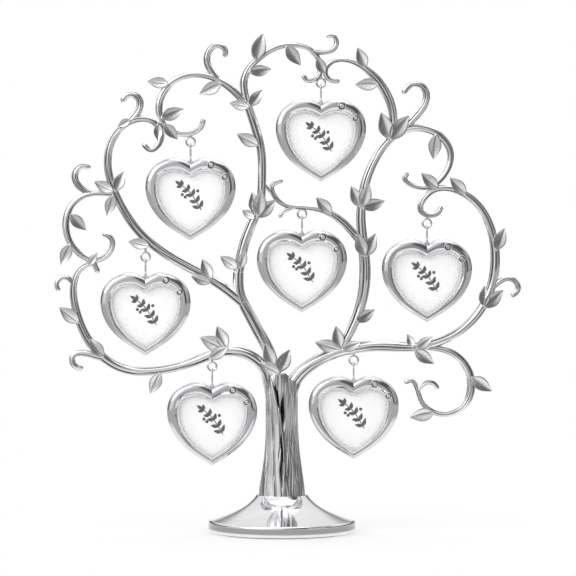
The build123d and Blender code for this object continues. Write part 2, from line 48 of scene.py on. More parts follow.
full_turn = 2 * math.pi
front_turn, back_turn = 1.5 * math.pi, 0.5 * math.pi

# Sizes shared with the solids
foot_height = 17.8
trunk_height = 56.9
crown_height = foot_height + trunk_height
trunk_foot_radius = 11.5
trunk_neck_radius = 7.7
trunk_shoulder_radius = 8.1
trunk_top_radius = 7.0
fork_across = 2.6
fork_slope = 0.93
heart_drop = 37.2

# Stems: spacing and points of their rings, groove depth as a share of the radius, fullness beside the solids
line_step = 0.6
ring_points = 96
bark_share = 0.24
stem_swell = 1.06

# Cast lines along a stem, front and back: (angle from the middle, half width, spread from stem to stem, depth)
# The depth also sets how dark each line's painted shade is
stem_lines = ((-0.95, 0.2, 0.12, 0.9), (0.8, 0.33, 0.15, 1.0), (0.1, 0.19, 0.3, 0.9))

# The fork, where the limbs come forward to the trunk's front: its depth below the crown, the distances from it
# where they start and end to draw back, and how proud of the trunk they are at two heights
fork_drop = 8.0
fork_near, fork_far = 4.0, 20.0
proud_heights, proud_levels = (-10.0, -1.0), (-1.2, 0.0)

# Leaves: grid, shape of the blade, veins, and how far root and tip stand in front of the stem
leaf_rows, leaf_columns = 22, 17
leaf_width_ratio = 0.47
leaf_fullness = 0.56
leaf_thickness = 1.0
leaf_fold = 0.8
leaf_curve = 1.6
vein_pairs = 6
vein_slant = 1.1
vein_width = 0.16
vein_height = 0.06
vein_start, vein_end = 0.1, 0.93
midrib_width = 0.13
midrib_rise = 2.5
root_forward = 0.7
root_least = 1.2
root_near = 1.0
tip_out = 0.6

# Painted shade on a leaf, as shares of its half width: a dark line beside the midrib and darkening along the edge
beside_middle, beside_width, beside_depth = 0.14, 0.11, 0.95
edge_start, edge_width, edge_depth = 0.7, 0.25, 0.62

# Trunk: grid, heights of its profile as shares, grooves, clefts and the rim of its hollow top
trunk_rows, trunk_columns = 130, 300
trunk_shares = (0.0, 0.16, 0.4, 0.68, 0.9, 1.02)
trunk_lines = 40
groove_width, groove_spread = 0.042, 0.018
groove_depth = 0.6
bark_inset = 0.25
trunk_lobes = 7
lobe_height = 0.2
cleft_taper = 0.2
rim_share, rim_drop = 0.45, 0.4

# Clefts down the trunk: (angle at its foot, angle at its top, from and to as shares of the height, half width, depth)
trunk_clefts = (
    (0.0, -1.1, 0.62, 1.12, 0.07, 1.5), (0.02, 0.1, 0.5, 0.93, 0.13, 2.2), (-0.02, 0.0, 0.02, 0.62, 0.05, 1.0),
)

# Painted shade on the trunk: in its grooves, in its clefts and under the leaves of the fork
groove_shade_tone, cleft_shade_tone, shade_tone = 0.5, 2.5, 0.6
shade_start, shade_turn = 0.86, 0.55

# Stones of a heart: (across, up, radius) from its notch
heart_stones = ((10.1, -0.9, 1.6), (16.7, -6.7, 1.3))
# Rings of a stone, from its table to its back: (points, share of the radius, depth, offset as a share of a step)
stone_sectors = 8
stone_rings = (
    (stone_sectors, 0.52, -0.5, 0.5), (stone_sectors, 0.78, -0.33, 0.0), (2 * stone_sectors, 0.98, -0.04, 0.0),
    (2 * stone_sectors, 0.98, 0.1, 0.0), (stone_sectors, 0.4, 0.75, 0.0),
)
stone_depth = 1.1
# Painted reflections on its facets, each dark or bright: the table, each sector from the table to the point behind,
# and the girdle
sector_reflections = [0.18, 0.75, 0.02, 0.02, 0.02, 0.5, 0.9, 0.5, 0.3]
facet_reflections = [0.85] + stone_sectors * sector_reflections + 2 * stone_sectors * [0.02]
# Metal ring round a stone: grid, gap to the stone, thickness and how far back it lies
collar_steps, collar_points = 28, 10
collar_gap, collar_wire, collar_back = 0.2, 0.3, 0.12

# Insert: what counts as its front, how far that is set back, and how far back the print lies
insert_front = 0.2
insert_back = 0.08
print_back = 0.05
berry_radius, berry_points = 0.8, 12
stalk_half_width = 0.24

# Each bough: its stems as (middle line, radii, blunt end) and its leaves, all (across, up) from the crown's middle.
# A leaf is (root, tip) or (root, tip, forward), where forward brings its tip out in front of the bough.
boughs = {
    "left_limb": {
        "stems": [
            ([(-2.9, -5.8), (-3.8, 1.9), (-6.7, 12.5), (-12, 22.6), (-17.3, 32.6), (-20.2, 38.9), (-20.9, 49.9)],
             (3.2, 2.8, 2.6, 2.5, 2.4), False),
        ],
        "leaves": [((-3.9, 4.0), (-8.0, 16.0), 2.6), ((-1.6, 1.7), (3.7, 12.7))],
    },
    "left_mast": {
        "stems": [
            ([(-20.9, 49.9), (-17.5, 65.3), (-13.9, 74.4), (-10.3, 84.5), (-9.6, 94.1), (-10.1, 108.5),
              (-12.5, 118.1), (-17.3, 132.5)],
             (2.4, 2.3, 2.1, 1.9, 1.9, 2.0, 1.8), False),
        ],
        "leaves": [
            ((-21.1, 51.5), (-29.8, 57.6)), ((-20.2, 51.5), (-17.5, 60.5), 2.4), ((-13.0, 75.4), (-19.2, 79.7)),
            ((-12.0, 77.0), (-14.4, 88.3)), ((-11.5, 76.5), (-9.8, 89.5), 2.2), ((-12.4, 75.9), (-2.9, 84.5)),
            ((-11.0, 110.4), (-21.8, 116.2)), ((-15.8, 129.1), (-9.4, 137.3)), ((-15.4, 128.9), (-25.4, 131.0)),
        ],
    },
    "left_bough": {
        "stems": [
            ([(-18.7, 35), (-30.2, 43.9), (-51.4, 55.7), (-69.1, 69.8), (-79.2, 85.7), (-83.5, 99.8),
              (-81.1, 113.8), (-72, 122.4), (-61.4, 121.9), (-58.1, 113.8), (-62.9, 108.5), (-66.7, 111.6)],
             (2.4, 2.3, 2.2, 2.1, 2.0, 1.9, 1.8, 1.7, 1.6, 1.5, 1.25), True),
            ([(-75.5, 120.4), (-71, 124.3), (-68.4, 128.6), (-68.4, 132.5), (-71, 134.9), (-74.6, 134.4),
              (-76.8, 131.5)],
             (1.4, 1.7, 1.6, 1.35), True),
        ],
        "leaves": [
            ((-34.1, 45.6), (-38.2, 56.4)), ((-34.1, 44.6), (-43.7, 48.0), 1.6), ((-63.4, 62.4), (-73.9, 64.6)),
            ((-80.2, 88.1), (-75.8, 98.2)), ((-80.6, 88.3), (-90.2, 93.4)), ((-80.6, 86.9), (-84.0, 76.8)),
            ((-72.5, 122.9), (-78.9, 119.3), 1.4), ((-59.3, 121.0), (-59.3, 112.3), 1.6),
        ],
    },
    "left_low_bough": {
        "stems": [
            ([(-4.5, -12), (-5.8, -3.8), (-8.6, 3.8), (-14.4, 9.1), (-22.1, 11.8), (-30.2, 11.3), (-39.4, 7.9),
              (-58.6, 2.6), (-77.8, 4.1), (-91.7, 15.4), (-98.9, 31.7), (-99.4, 46.1), (-96.5, 51.4), (-91.2, 54.2)],
             (3.0, 2.9, 2.5, 2.3, 2.0, 2.1, 2.2, 2.1, 1.9, 1.6, 1.2), False),
            ([(-85.4, 8.6), (-90.7, 9.9), (-96, 11), (-99.6, 10.1), (-100.6, 7), (-98.6, 4.3), (-95.3, 3.6)],
             (1.8, 1.7, 1.5, 1.25), True),
            ([(-99.6, 43.2), (-102.2, 46.6), (-105.4, 47.2), (-107.6, 45.4), (-108.0, 42.7), (-106.6, 40.8)],
             (1.1, 1.2, 1.15, 1.0), True),
        ],
        "leaves": [
            ((-0.9, 1.2), (-11.3, 6.7), 2.8), ((-26.4, 13.0), (-31.2, 24.2)), ((-26.9, 13.0), (-39.6, 18.7)),
            ((-35.0, 8.2), (-25.4, 14.4), 2.4), ((-58.1, 1.8), (-63.4, -8.6)), ((-85.4, 9.1), (-92.2, 18.2), 2.2),
            ((-97.0, 25.4), (-107.0, 33.1)),
        ],
    },
    "left_loop": {
        "stems": [
            ([(-80, 87.1), (-88.8, 87.6), (-95, 86.4), (-100.3, 82.6), (-103.7, 73.5), (-101.3, 63.4),
              (-97, 58.6), (-91.2, 55.7), (-85.4, 56.9), (-81.8, 61), (-81.8, 65.8), (-86.2, 68.4)],
             (1.4, 1.4, 1.5, 1.6, 1.5, 1.4, 1.3, 1.15), True),
            ([(-91.5, 87.5), (-97, 90.7), (-99.4, 95.3), (-98.4, 98.9), (-95, 100.6), (-91.9, 99.6)],
             (1.3, 1.6, 1.5, 1.25), True),
            ([(-90.7, 55.4), (-89.3, 52), (-88.1, 49.4)], (1.2, 1.2), True),
        ],
        "leaves": [
            ((-101.7, 77.5), (-93.8, 69.8)), ((-101.3, 63.4), (-106.1, 53.3)), ((-92.6, 53.0), (-88.3, 59.3), 1.7),
        ],
    },
    "top_left_scroll": {
        "stems": [
            ([(-16.3, 129.6), (-26.9, 139.7), (-38.9, 144.5), (-50.9, 142.1), (-58.8, 131), (-56.6, 120.5),
              (-47, 115.9), (-38.6, 120), (-37.7, 123.6)],
             (1.8, 1.7, 1.5, 1.5, 1.65, 1.6, 1.3, 1.25, 1.2), True),
            ([(-29.5, 141), (-34.1, 146.4), (-36, 151.2), (-34.6, 156.5), (-31.2, 158.6), (-27.6, 157.2),
              (-27.4, 152.9)],
             (1.4, 1.6, 1.45, 1.2), True),
        ],
        "leaves": [
            ((-54.2, 140.0), (-64.8, 141.4)), ((-28.8, 140.4), (-39.8, 135.1)), ((-58.1, 123.4), (-47.0, 128.2)),
            ((-56.6, 121.0), (-49.9, 113.3)),
        ],
    },
    "top_arch": {
        "stems": [
            ([(-17.0, 131.5), (-18.2, 142.1), (-9.1, 154.1), (3.8, 158.9), (15.4, 155), (18.4, 148.5),
              (16.4, 142.9), (11.9, 142), (10.1, 144.7)],
             (1.8, 1.75, 1.5, 1.35, 1.3, 1.25, 1.2, 1.1), True),
            ([(14.4, 155.8), (20.6, 155.3), (24.5, 156.7), (26.2, 159.8), (25, 162.7), (21.4, 162.7)],
             (1.1, 1.2, 1.15, 1.0), True),
        ],
        "leaves": [
            ((-12.9, 151.0), (-9.1, 164.4)), ((-15.8, 145.6), (-5.0, 147.2)), ((1.9, 158.2), (9.1, 148.8)),
            ((20.4, 144.6), (16.6, 153.6), 1.4),
        ],
    },
    "right_bough": {
        "stems": [
            ([(2.7, -15), (3.8, -7.7), (6.7, -1.4), (13.4, 5), (28.8, 12), (47, 14.6), (65.3, 14.2), (81.6, 19.2),
              (94.1, 30), (101.3, 46.1), (101.8, 63.8), (95.5, 80.2), (83, 89.3), (70.1, 87.4), (67, 78.7),
              (74.4, 78), (76.6, 81.6)],
             (4.1, 3.2, 2.6, 2.7, 2.7, 2.0, 1.9, 2.0, 2.2, 2.0, 1.8, 1.5, 1.4, 1.2), True),
            ([(99.6, 40.5), (104.6, 45.4), (108.5, 46.8), (112.1, 45.1), (113.3, 41.8), (109.9, 38.2)],
             (1.1, 1.4, 1.35, 1.2), True),
        ],
        "leaves": [
            ((28.6, 12.6), (37.9, 16.3), 2.4), ((62.9, 13.4), (60.2, 20.2)), ((64.3, 13.0), (72.2, 19.0), 1.8),
            ((63.4, 12.5), (73.0, 5.8)), ((96.7, 33.0), (97.2, 43.4)), ((96.7, 32.6), (106.1, 41.3)),
            ((102.4, 60.0), (106.8, 71.0)), ((88.3, 87.0), (80.4, 95.3)), ((74.9, 89.6), (66.7, 97.4)),
        ],
    },
    "right_spiral": {
        "stems": [
            ([(66, 14), (73.9, 13.2), (80.6, 11.5), (86.4, 7.2), (90.6, -2), (89, -12), (84.5, -16.6),
              (78.2, -18.5), (72, -17), (67.4, -13), (64.6, -5.6), (62.4, -2.4), (58.8, -3.4)],
             (1.2, 1.4, 1.7, 1.9, 1.9, 1.5, 1.4, 1.2, 1.1, 1.1), True),
            ([(64.9, -7.2), (66.7, -4.8), (69.6, -3.1), (72.7, -3.6), (74.9, -6.5)], (1.0, 1.2, 1.2, 1.05), True),
        ],
        "leaves": [((90.5, -0.5), (100.8, -7.4)), ((73.2, -17.4), (61.0, -19.9))],
    },
    "right_limb": {
        "stems": [
            ([(27.6, 11.6), (33.6, 23), (38.9, 38.9), (39.6, 56.6), (37.9, 73.9), (39.6, 90.7), (46.3, 106.6),
              (57.6, 117.4), (71.5, 117.8), (80.9, 107), (76.8, 95), (66.2, 90.5), (59, 95), (60.5, 97.7)],
             (1.7, 2.1, 2.4, 2.6, 2.5, 2.3, 2.0, 2.1, 1.9, 1.6, 1.8, 1.9, 1.5, 1.3, 1.25, 1.15), True),
            ([(57, 117.2), (66.2, 126.7), (69.1, 132), (68.9, 136.8), (65.8, 139.7), (61.9, 139.7), (58.1, 135.4)],
             (1.4, 1.65, 1.6, 1.35), True),
        ],
        "leaves": [
            ((27.8, 12.8), (25.9, 24.2)), ((27.8, 12.6), (15.6, 16.3)), ((35.4, 25.9), (44.6, 31.9)),
            ((39.6, 57.1), (36.0, 68.9), 2.4), ((39.9, 57.1), (44.9, 68.4)), ((38.0, 80.6), (33.1, 91.2)),
            ((38.2, 80.8), (41.8, 92.4), 2.2), ((38.4, 80.4), (49.4, 84.0)), ((51.6, 113.2), (47.5, 126.7)),
            ((51.6, 113.2), (61.0, 125.0)), ((73.9, 116.0), (72.5, 103.7)),
        ],
    },
    "right_arch": {
        "stems": [
            ([(52.9, 114.6), (53.3, 125.3), (48.7, 138), (38.9, 148.3), (27.4, 151.7), (21.6, 148.5), (21.2, 144),
              (23.8, 141.8), (27.8, 141.6)],
             (1.7, 1.9, 2.1, 1.9, 1.4, 1.1, 1.15, 1.15), True),
        ],
        "leaves": [((46.6, 139.8), (34.8, 139.7)), ((40.2, 147.4), (36.2, 157.7))],
    },
    "centre_branch": {
        "stems": [
            ([(38.6, 63.4), (32.2, 70.8), (21.6, 78.7), (9.1, 81.1), (-1.9, 84.2), (-4.6, 91.4), (0.5, 93.8)],
             (2.1, 1.9, 1.7, 1.4, 1.2, 1.2, 1.15, 1.05), True),
            ([(6.5, 81.3), (3.4, 80.1), (0.2, 78.5), (-1, 75.8)], (1.0, 1.05, 1.0), True),
            ([(-3.9, 86.6), (-6.2, 89.3), (-9.4, 92.6)], (0.8, 0.8), False),
        ],
        "leaves": [((24.0, 77.4), (16.3, 85.9))],
    },
}
heart_names = ("top", "upper_left", "centre", "right", "left", "lower_left", "lower_right")


def smooth_line(points):
    """Even samples of the natural cubic through points: places, unit directions and lengths so far."""
    knots = np.array(points, float)
    chord = np.concatenate([[0], np.cumsum(np.linalg.norm(np.diff(knots, axis=0), axis=1))])
    gaps = np.diff(chord)
    count = len(knots)
    system = np.eye(count)
    target = np.zeros((count, 2))
    for i in range(1, count - 1):
        system[i, i - 1 : i + 2] = gaps[i - 1], 2 * (gaps[i - 1] + gaps[i]), gaps[i]
        slopes = np.diff(knots[i - 1 : i + 2], axis=0) / gaps[i - 1 : i + 1, None]
        target[i] = 6 * (slopes[1] - slopes[0])
    bend = np.linalg.solve(system, target)
    along = np.linspace(0, chord[-1], 40 * count)
    span = np.clip(np.searchsorted(chord, along, side="right") - 1, 0, count - 2)
    gap = gaps[span][:, None]
    before = ((along - chord[span])[:, None]) / gap
    after = 1 - before
    places = after * knots[span] + before * knots[span + 1]
    places += gap**2 / 6 * ((after**3 - after) * bend[span] + (before**3 - before) * bend[span + 1])
    lengths = np.concatenate([[0], np.cumsum(np.linalg.norm(np.diff(places, axis=0), axis=1))])
    even = np.linspace(0, lengths[-1], max(8, round(lengths[-1] / line_step)))
    places = np.stack([np.interp(even, lengths, places[:, k]) for k in (0, 1)], axis=1)
    heading = np.gradient(places, even, axis=0)
    heading /= np.linalg.norm(heading, axis=1)[:, None]
    return places, heading, even


def radius_at(share, radii):
    """Radius of a stem at a share of its length."""
    return np.interp(share, np.linspace(0, 1, len(radii)), radii)


def grid_faces(rows, columns, closed):
    """Quads over a grid of points, joined round each row where it is closed."""
    faces = []
    for row in range(rows - 1):
        for column in range(columns if closed else columns - 1):
            right = (column + 1) % columns
            low, high = row * columns, (row + 1) * columns
            faces.append((low + column, low + right, high + right, high + column))
    return faces


def angle_between(turn, middle):
    """The angle from middle to turn, between minus and plus half a turn."""
    return np.angle(np.exp(1j * (turn - middle)))


def bark(turn, along, seed):
    """How deep a cast bark groove is, 0 to 1, at an angle round a stem and a length along it."""
    depth = np.zeros(np.broadcast(turn, along).shape)
    for facing in (front_turn, back_turn):
        for line, (middle, wide, apart, share) in enumerate(stem_lines):
            path = facing + middle + apart * math.sin(2.1 * line + seed)
            off = angle_between(turn, path)
            strength = np.clip(0.7 + 0.6 * np.sin(0.13 * along + 3.3 * line + 1.7 * seed), 0, 1)
            depth = np.maximum(depth, share * strength * np.exp(-((off / wide) ** 2)))
    return depth


def lean_at(places, radius):
    """How far forward a stem comes near the fork, where it grows out of the trunk's front."""
    away = np.hypot(places[:, 0], places[:, 1] + fork_drop)
    near = np.clip((fork_far - away) / (fork_far - fork_near), 0, 1)
    trunk_front = np.sqrt(np.clip(trunk_top_radius**2 - places[:, 0] ** 2, 0, None))
    proud = np.interp(places[:, 1], proud_heights, proud_levels)
    return near**2 * (3 - 2 * near) * np.clip(trunk_front - radius + proud, 0, None)


def stem(points, radii, blunt, seed):
    """A tapering stem with long bark grooves: points in metres, faces and groove depths, which also set the painted
    shade in the grooves.
    """
    places, heading, along = smooth_line(points)
    radius = stem_swell * radius_at(along / along[-1], radii)
    if blunt:
        short = np.clip((radius - (along[-1] - along)) / radius, 0, 0.98)
        radius = radius * np.sqrt(1 - short**2)
    turn = np.linspace(0, full_turn, ring_points, endpoint=False)[None, :]
    # Groove depth: cuts the bark and also gives the painted shade in the groove
    groove_and_shade = bark(turn, along[:, None], seed)
    reach = radius[:, None] * (1 - bark_share * groove_and_shade)
    lean = lean_at(places, radius)
    across = places[:, :1] - heading[:, 1:] * reach * np.cos(turn)
    depth = reach * np.sin(turn) - lean[:, None]
    up = places[:, 1:] + heading[:, :1] * reach * np.cos(turn)
    body = np.stack([across, depth, up], axis=-1).reshape(-1, 3)
    ends = [(places[i][0], -lean[i], places[i][1]) for i in (0, -1)]
    points3 = (np.vstack([body, ends]) + (0, 0, crown_height)) * MM
    rows = len(along)
    faces = grid_faces(rows, ring_points, True)
    first_hub, last_hub = rows * ring_points, rows * ring_points + 1
    last = (rows - 1) * ring_points
    for column in range(ring_points):
        right = (column + 1) % ring_points
        faces.append((first_hub, right, column))
        faces.append((last_hub, last + column, last + right))
    return points3, faces, np.concatenate([groove_and_shade.ravel(), [0, 0]])


def front_at(stems, root):
    """How far in front of the boughs' plane a leaf's root sits, so that it lies on the stem it grows from."""
    reaches = [root_least]
    for points, radii, _ in stems:
        places, _, along = smooth_line(points)
        apart = np.linalg.norm(places - np.array(root), axis=1)
        nearest = apart.argmin()
        radius = radius_at(along[nearest] / along[-1], radii)
        if apart[nearest] < radius + root_near:
            reaches.append(radius + lean_at(places[nearest : nearest + 1], stem_swell * radius)[0])
    return max(reaches)


def leaf_relief(u, v):
    """Depth of a leaf's front and back behind its chord, at shares along it (u) and across it (v)."""
    place = u * vein_pairs - vein_slant * np.abs(v)
    vein = np.exp(-(((place - np.round(place)) / vein_width) ** 2)) * (1 - np.abs(v)) ** 0.5
    vein = vein * (u > vein_start) * (u < vein_end)
    midrib = np.exp(-((v / midrib_width) ** 2)) * (1 - u) ** 0.3
    cup = leaf_fold * np.abs(v) ** 1.4 * np.sin(math.pi * u) ** 0.6 + leaf_curve * (u - 0.5) ** 2
    half_thick = 0.5 * leaf_thickness * (1 - 0.75 * np.abs(v) ** 2) * (1 - 0.6 * u)
    return -cup - half_thick - vein_height * np.maximum(vein, midrib_rise * midrib), half_thick - cup


def leaf_painted_shade(u, v, shaded_side):
    """Painted shade on a leaf's front: a dark line beside the midrib on its shaded side, and darkening along its
    edge.
    """
    beside = np.exp(-(((shaded_side * v - beside_middle) / beside_width) ** 2)) * (1 - u) ** 0.25
    edge = np.clip((np.abs(v) - edge_start) / edge_width, 0, 1) * np.ones_like(u)
    return np.maximum(beside_depth * beside, edge_depth * edge)


def leaf(front, root, tip, forward=0.0):
    """A cast leaf with a raised midrib, side veins and a cupped blade, on the line from root to tip."""
    start = np.array((root[0], -max(root_forward * forward, front), root[1]))
    end = np.array((tip[0], -forward - tip_out, tip[1]))
    length = np.linalg.norm(end - start)
    along = (end - start) / length
    backward = np.cross(np.cross(along, (0, 1, 0)), along)
    backward /= np.linalg.norm(backward)
    aside = np.cross(along, backward)
    u = np.linspace(0, 1, leaf_rows)[:, None]
    v = np.linspace(-1, 1, leaf_columns)[None, :]
    outline = np.sin(math.pi * u**0.9) ** 1.05 * (1 - 0.15 * u) + 0.07 * (1 - u)
    half_width = leaf_fullness * leaf_width_ratio * length * outline
    chord = start + along * (u * length)[..., None] + aside * (v * half_width)[..., None]
    sheets = [(chord + backward * depth[..., None]).reshape(-1, 3) for depth in leaf_relief(u, v)]
    points3 = (np.vstack(sheets) + (0, 0, crown_height)) * MM
    size = leaf_rows * leaf_columns
    front_faces = grid_faces(leaf_rows, leaf_columns, False)
    faces = front_faces + [tuple(size + i for i in reversed(face)) for face in front_faces]
    grid = np.arange(size).reshape(leaf_rows, leaf_columns)
    border = np.concatenate([grid[0], grid[1:, -1], grid[-1, -2::-1], grid[-2:0:-1, 0]]).tolist()
    for a, b in zip(border, border[1:] + border[:1]):
        faces.append((b, a, size + a, size + b))
    # Painted shade beside the midrib and along the edge, on the leaf's front points only
    tone = leaf_painted_shade(u, v, -np.sign(aside[0]))
    return points3, faces, np.concatenate([tone.ravel(), np.zeros(size)])


def trunk_surface():
    """The trunk's bark: long wavering grooves round a flared column, clefts in front and a slanting fork, with
    painted shade in the grooves and clefts and under the fork's leaves.
    """
    neck = trunk_foot_radius - trunk_neck_radius
    radii = (trunk_foot_radius, trunk_foot_radius - 0.38 * neck, trunk_neck_radius + 0.28 * neck,
             trunk_neck_radius, trunk_shoulder_radius, trunk_top_radius)
    turn = np.linspace(0, full_turn, trunk_columns, endpoint=False)[None, :]
    fork = trunk_height + fork_across - fork_slope * trunk_top_radius * np.cos(turn)
    level = np.linspace(0, 1, trunk_rows)[:, None] * np.minimum(trunk_shares[-1] * trunk_height, fork)
    share = level / trunk_height
    radius = np.polyval(np.polyfit(trunk_shares, radii, 4), share)
    groove_and_shade = np.zeros((trunk_rows, trunk_columns))
    for line in range(trunk_lines):
        middle = full_turn * line / trunk_lines + 0.05 * np.sin(0.11 * level + 1.9 * line)
        middle = middle + 0.025 * np.sin(0.33 * level + 4.3 * line)
        wide = groove_width + groove_spread * math.sin(2.7 * line)
        strength = np.clip(0.35 + 0.65 * np.sin(0.13 * level + 2.3 * line), 0, 1)
        groove_and_shade = np.maximum(groove_and_shade, strength * np.exp(-((angle_between(turn, middle) / wide) ** 2)))
    cleft = np.zeros((trunk_rows, trunk_columns))
    cut = np.zeros((trunk_rows, trunk_columns))
    for low_turn, high_turn, low_share, high_share, wide, deep in trunk_clefts:
        climb = np.clip((share - low_share) / (high_share - low_share), 0, 1)
        middle = front_turn + low_turn + (high_turn - low_turn) * climb**1.4 + 0.03 * np.sin(0.4 * level)
        taper = np.clip(np.minimum(share - low_share, high_share - share) / cleft_taper, 0, 1) ** 1.5
        narrow = wide * (0.35 + 0.65 * np.sin(math.pi * np.clip(0.15 + 0.7 * climb, 0, 1)))
        one = taper * np.exp(-((angle_between(turn, middle) / narrow) ** 2))
        cleft = np.maximum(cleft, one)
        cut = np.maximum(cut, deep * one)
    lobes = lobe_height * np.sin(trunk_lobes * turn + 0.9 * np.sin(0.1 * level))
    reach = radius - bark_inset - groove_depth * groove_and_shade - cut + lobes
    body = np.stack([reach * np.cos(turn), reach * np.sin(turn), foot_height + level], axis=-1).reshape(-1, 3)
    inner = body[-trunk_columns:] * (rim_share, rim_share, 1) - (0, 0, rim_drop)
    points3 = np.vstack([body, inner, [inner.mean(axis=0)]]) * MM
    faces = grid_faces(trunk_rows + 1, trunk_columns, True)
    rim, hub = trunk_rows * trunk_columns, len(points3) - 1
    faces += [(rim + column, rim + (column + 1) % trunk_columns, hub) for column in range(trunk_columns)]
    shade = np.clip((share - shade_start) / (1 - shade_start), 0, 1)
    shade = shade * np.exp(-(((turn - front_turn) / shade_turn) ** 2))
    # Painted shade: darker in the grooves and clefts, and under the fork's leaves
    tone = np.maximum(groove_shade_tone * groove_and_shade, np.minimum(cleft_shade_tone * cleft, 1))
    tone = np.maximum(tone, shade_tone * shade)
    return points3, faces, np.concatenate([tone.ravel(), np.zeros(trunk_columns + 1)])


def make_piece(name, surfaces, materials, body, *nodes):
    """One object from several (finish, surface) pairs, riding on a body and standing for CAD nodes, with a painted
    shade amount at each point.
    """
    points3, faces, shade_values, finishes = [], [], [], []
    shift = 0
    for finish, (surface_points, surface_faces, groove_and_shade) in surfaces:
        points3.extend(map(tuple, surface_points))
        faces.extend(tuple(shift + i for i in face) for face in surface_faces)
        shade_values.extend(groove_and_shade)
        finishes.extend([finish] * len(surface_faces))
        shift += len(surface_points)
    mesh = bpy.data.meshes.new(name)
    mesh.from_pydata(points3, [], faces)
    mesh.polygons.foreach_set("use_smooth", [True] * len(mesh.polygons))
    attribute = mesh.attributes.new("groove_and_shade", "FLOAT", "POINT")
    attribute.data.foreach_set("value", np.array(shade_values, np.float32))
    for material in materials:
        mesh.materials.append(material)
    mesh.polygons.foreach_set("material_index", finishes)
    mesh.validate()
    piece = bpy.data.objects.new(name, mesh)
    bpy.context.collection.objects.link(piece)
    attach(piece, body)
    if nodes:
        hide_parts(*nodes)
    return piece


def shader(name):
    """A new material with its node tree and its main shader."""
    material = bpy.data.materials.new(name)
    material.use_nodes = True
    tree = material.node_tree
    return material, tree, tree.nodes["Principled BSDF"]


def feed(tree, socket, source):
    """Links a socket to a source socket, or sets it to a number or a colour."""
    if isinstance(source, bpy.types.NodeSocket):
        tree.links.new(source, socket)
    elif isinstance(source, tuple):
        socket.default_value = (*source, 1)
    else:
        socket.default_value = source


def spread(tree, value, start, end, low, high):
    """A value carried from one span to another, held at both ends."""
    node = tree.nodes.new("ShaderNodeMapRange")
    for socket, number in zip(("From Min", "From Max", "To Min", "To Max"), (start, end, low, high)):
        node.inputs[socket].default_value = number
    tree.links.new(value, node.inputs["Value"])
    return node.outputs["Result"]


def combine(tree, kind, first, second):
    """Two values joined by a maths kind."""
    node = tree.nodes.new("ShaderNodeMath")
    node.operation = kind
    for socket, source in zip(node.inputs, (first, second)):
        feed(tree, socket, source)
    return node.outputs["Value"]


def mix(tree, factor, first, second):
    """A colour between two, each a colour or a socket, by a factor socket."""
    node = tree.nodes.new("ShaderNodeMix")
    node.data_type = "RGBA"
    for place, source in ((0, factor), (6, first), (7, second)):
        feed(tree, node.inputs[place], source)
    return node.outputs[2]


def ramp(tree, value, stops, start=-1.0, end=1.0):
    """Grey levels along a value, as (value, grey) stops from start to end."""
    table = tree.nodes.new("ShaderNodeValToRGB")
    elements = table.color_ramp.elements
    while len(elements) < len(stops):
        elements.new(0.5)
    for element, (place, grey) in zip(elements, stops):
        element.position = (place - start) / (end - start)
        element.color = (grey, grey, grey, 1)
    tree.links.new(spread(tree, value, start, end, 0.0, 1.0), table.inputs["Fac"])
    return table.outputs["Color"]


def object_axes(tree):
    """The object's coordinates: the vector and its axes."""
    place = tree.nodes.new("ShaderNodeTexCoord").outputs["Object"]
    axes = tree.nodes.new("ShaderNodeSeparateXYZ")
    tree.links.new(place, axes.inputs[0])
    return place, axes.outputs


def noise_between(tree, scale, low, high, detail=3.0):
    """A noise value spread between two numbers."""
    place = tree.nodes.new("ShaderNodeTexCoord")
    cloud = tree.nodes.new("ShaderNodeTexNoise")
    cloud.inputs["Scale"].default_value = scale
    cloud.inputs["Detail"].default_value = detail
    tree.links.new(place.outputs["Object"], cloud.inputs["Vector"])
    return spread(tree, cloud.outputs["Fac"], 0.3, 0.7, low, high)


def add_bump(tree, main, height, strength, distance):
    """Fine relief from a height socket."""
    bump = tree.nodes.new("ShaderNodeBump")
    bump.inputs["Strength"].default_value = strength
    bump.inputs["Distance"].default_value = distance
    tree.links.new(height, bump.inputs["Height"])
    tree.links.new(bump.outputs["Normal"], main.inputs["Normal"])


# Painted shade: the near-black colour that grooves, clefts and dark leaf lines are painted with, and the duller
# roughness there
painted_shade_colour = (0.028, 0.028, 0.032)
groove_roughness = 0.55


def plated(name, light, dark, smooth, rough, grooved):
    """Polished plating, slightly clouded; where grooved, painted shade darkens it and makes it duller, by each
    point's shade amount.
    """
    material, tree, main = shader(name)
    main.inputs["Metallic"].default_value = 1.0
    colour = mix(tree, noise_between(tree, 90, 0, 1), dark, light)
    shine = noise_between(tree, 420, smooth, rough)
    if grooved:
        # Painted shade: each point's shade amount darkens the colour towards the painted shade colour
        cut = tree.nodes.new("ShaderNodeAttribute")
        cut.attribute_name = "groove_and_shade"
        colour = mix(tree, cut.outputs["Fac"], colour, painted_shade_colour)
        dull = tree.nodes.new("ShaderNodeMix")
        for place, source in ((0, cut.outputs["Fac"]), (2, shine), (3, groove_roughness)):
            feed(tree, dull.inputs[place], source)
        shine = dull.outputs[0]
    tree.links.new(colour, main.inputs["Base Color"])
    tree.links.new(shine, main.inputs["Roughness"])
    add_bump(tree, main, noise_between(tree, 1600, 0, 1, 2.0), 0.04, 0.0001)
    return material


def mottled(name, scale, dark, light, detail=3.0):
    """A plain finish that wavers between two tones, with its node tree and its main shader."""
    material, tree, main = shader(name)
    tone = mix(tree, noise_between(tree, scale, 0, 1, detail), dark, light)
    tree.links.new(tone, main.inputs["Base Color"])
    return material, tree, main


bough_metal = plated("bough_plating", (0.95, 0.953, 0.965), (0.85, 0.854, 0.87), 0.06, 0.13, True)
# Leaf plating: rougher than the boughs', and a little lighter as painted light
leaf_metal = plated("leaf_plating", (0.97, 0.972, 0.98), (0.9, 0.903, 0.915), 0.18, 0.26, True)
